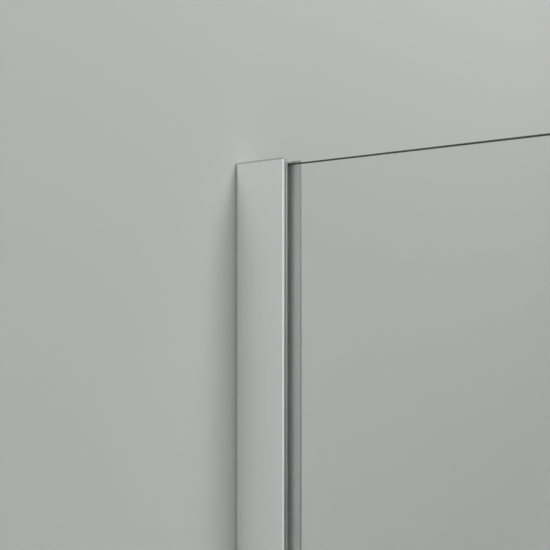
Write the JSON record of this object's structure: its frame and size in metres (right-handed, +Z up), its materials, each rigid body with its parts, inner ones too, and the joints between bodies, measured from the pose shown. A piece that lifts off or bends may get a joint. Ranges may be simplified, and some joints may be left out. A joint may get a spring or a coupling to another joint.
{
  "type": "shower door",
  "caption": "Framed-edge glass shower door with a fixed side panel, hung on rise-and-fall hinges and closed by magnetic seals, for a recess between two walls.",
  "frame": {"origin": "on the floor, midway between the two walls, in the middle plane of the glass", "axes": "+X from the fixed panel's wall to the hinge wall, +Y into the shower, +Z up"},
  "size_m": [1, 0.088, 2],
  "materials": {
    "satin_aluminium": "satin anodised, faint upright extrusion lines",
    "clear_glass": "clear toughened glass with ground edges",
    "satin_steel": "satin brushed",
    "screw_steel": "turned stainless steel",
    "grey_rubber": "matt",
    "clear_vinyl": "clear extruded vinyl",
    "grey_plastic": "moulded, silver-grey, satin",
    "white_acetal": "moulded, smooth",
    "magnet_strip": "bonded magnet, matt"
  },
  "bodies": {
    "frame": {"fixed_glass": "clear_glass", "fixed_magnet_seal": "clear_vinyl", "fixed_magnet_strip": "magnet_strip", "floor_channel": "satin_aluminium", "floor_front_gasket": "grey_rubber", "floor_rear_gasket": "grey_rubber", "hinge_bracket_screws": "screw_steel", "infill_strips": "satin_aluminium", "left_front_gasket": "grey_rubber", "left_glass_profile": "satin_aluminium", "left_lock_screws": "screw_steel", "left_rear_gasket": "grey_rubber", "left_screw_covers": "grey_plastic", "left_top_cap": "grey_plastic", "left_wall_profile": "satin_aluminium", "lower_fixed_cam": "white_acetal", "lower_hinge_bracket": "satin_steel", "right_glass_profile": "satin_aluminium", "right_lock_screws": "screw_steel", "right_screw_covers": "grey_plastic", "right_top_cap": "grey_plastic", "right_wall_profile": "satin_aluminium", "setting_blocks": "white_acetal", "threshold_rail": "satin_aluminium", "upper_fixed_cam": "white_acetal", "upper_hinge_bracket": "satin_steel"},
    "hinge_pins": {"upper_hinge_pin": "screw_steel", "lower_hinge_pin": "screw_steel"},
    "door": {"door_glass": "clear_glass", "upper_hinge_leaf": "satin_steel", "lower_hinge_leaf": "satin_steel", "upper_back_plate": "satin_steel", "lower_back_plate": "satin_steel", "upper_front_pad": "clear_vinyl", "upper_rear_pad": "clear_vinyl", "lower_front_pad": "clear_vinyl", "lower_rear_pad": "clear_vinyl", "hinge_clamp_screws": "screw_steel", "upper_lift_cam": "white_acetal", "lower_lift_cam": "white_acetal", "upper_hinge_bush": "white_acetal", "lower_hinge_bush": "white_acetal", "door_magnet_seal": "clear_vinyl", "door_magnet_strip": "magnet_strip", "door_hinge_seal": "clear_vinyl", "door_drip_seal": "clear_vinyl", "outer_grip": "satin_steel", "inner_grip": "satin_steel", "handle_studs": "screw_steel", "handle_washers": "clear_vinyl"}
  },
  "joints": [
    {"name": "door_swing", "type": "hinge", "parent": "frame", "child": "hinge_pins", "pos_m": [0.448, 0, 1.0065], "axis": [0, 0, 1], "range_deg": [0, 90]},
    {"name": "door_lift", "type": "slide", "parent": "hinge_pins", "child": "door", "axis": [0, 0, 1], "range_m": [0, 0.006]}
  ],
  "couplings": [
    {"joint": "door_lift", "follows": "door_swing", "m_per_rad": 0.0038197}
  ]
}
